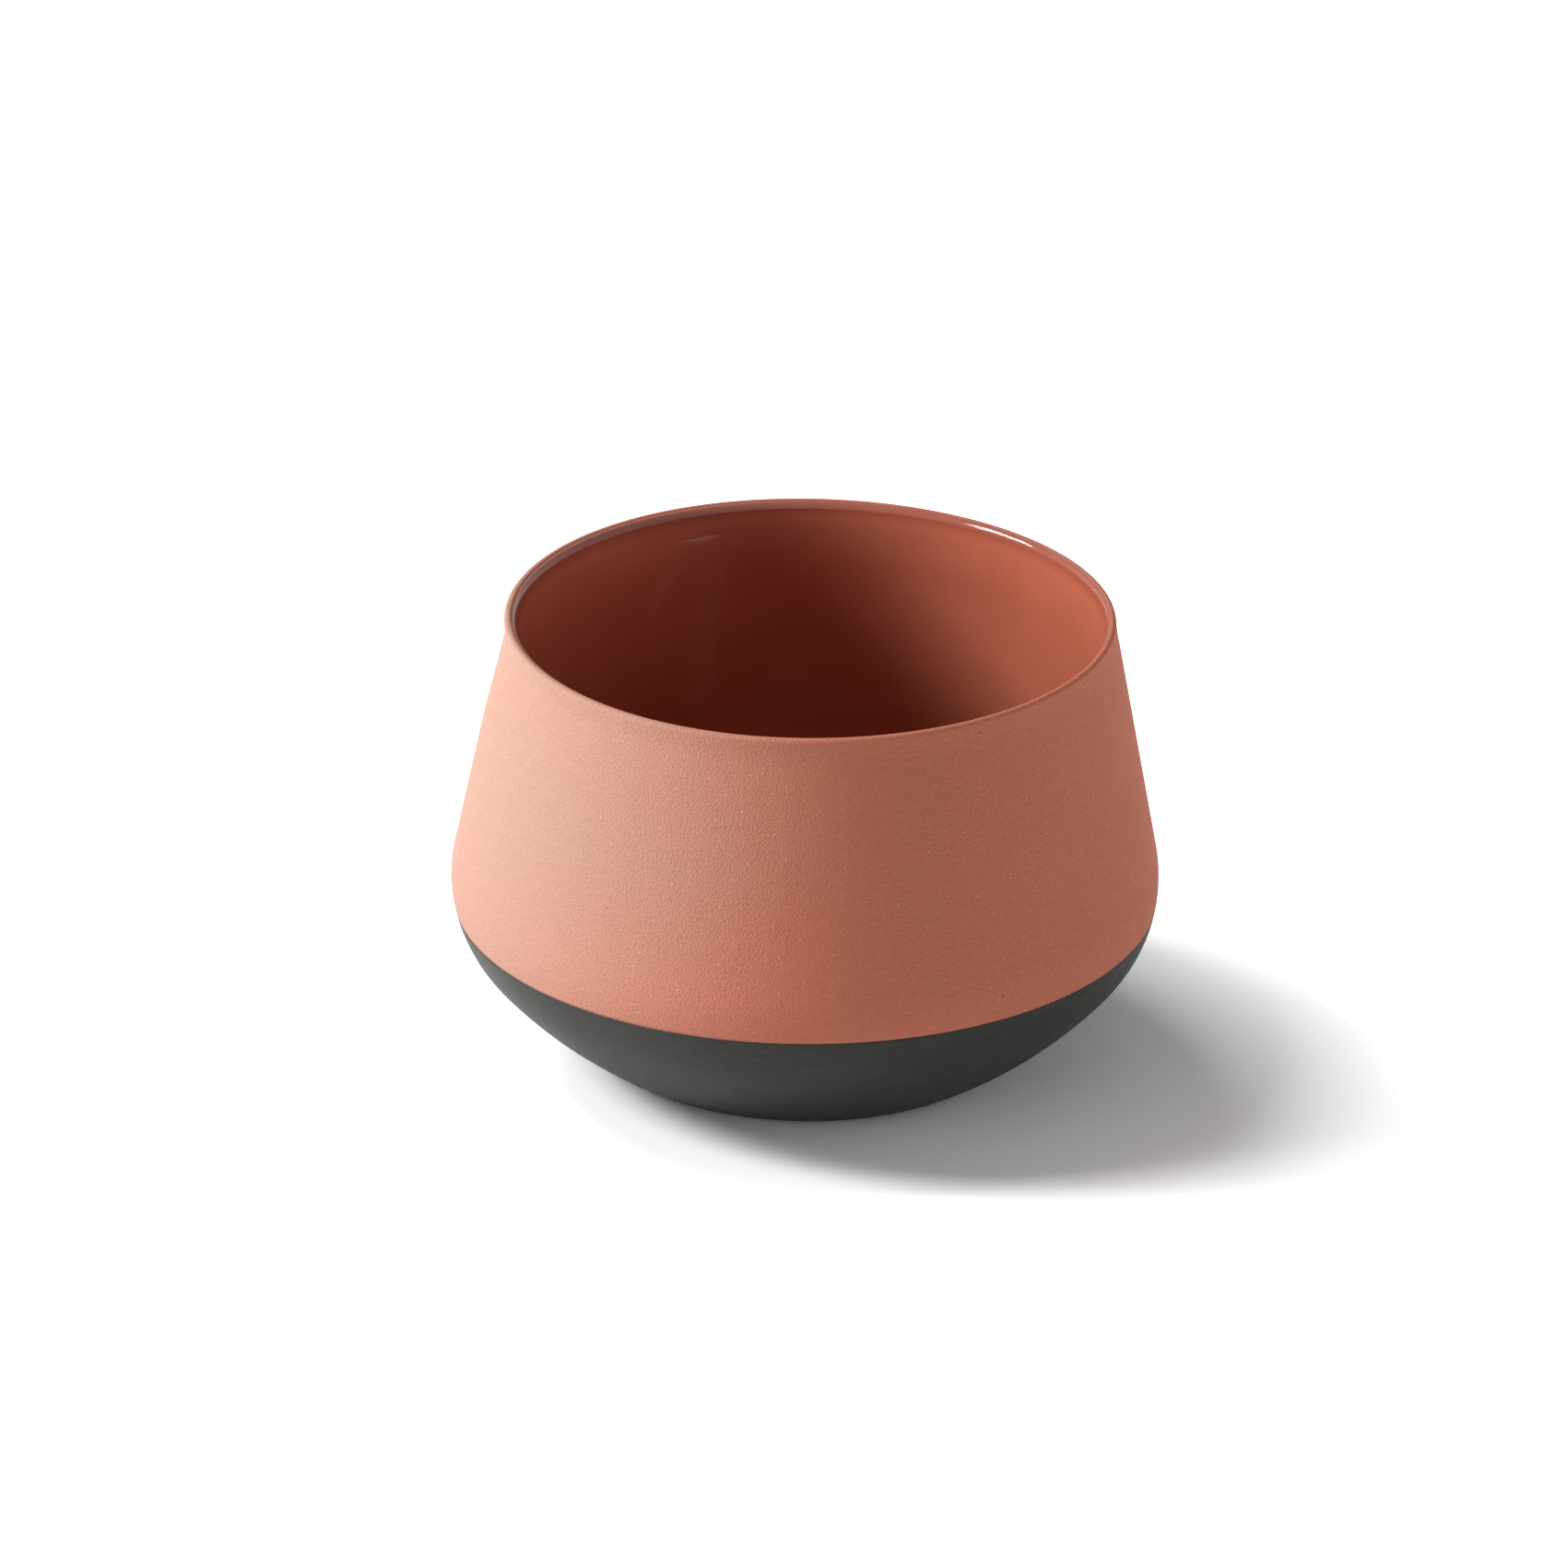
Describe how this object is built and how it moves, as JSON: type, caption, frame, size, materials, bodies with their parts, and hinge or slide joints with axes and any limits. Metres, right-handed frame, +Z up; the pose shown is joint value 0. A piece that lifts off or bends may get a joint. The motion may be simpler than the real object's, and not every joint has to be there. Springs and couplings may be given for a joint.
{
  "type": "drinking cup",
  "caption": "Low, wide drinking cup without handles: upper wall leaning in over a rounded belly, matt terracotta above a dark slate base, clear glaze inside.",
  "frame": {"origin": "centre of the foot, in the plane of the standing ring", "axes": "+Z up along the axis that the cup is turned about, +X to the right and +Y away from someone in front of it"},
  "size_m": [0.1, 0.1, 0.0647],
  "materials": {
    "slate_clay": "unglazed, matt, very fine grain",
    "terracotta_clay": "unglazed, matt, very fine grain",
    "clear_glaze": "clear gloss glaze that shows the terracotta under it"
  },
  "bodies": {
    "root": {"slate_base_shell": "slate_clay", "terracotta_body": "terracotta_clay", "clear_glaze_lining": "clear_glaze"}
  },
  "joints": []
}
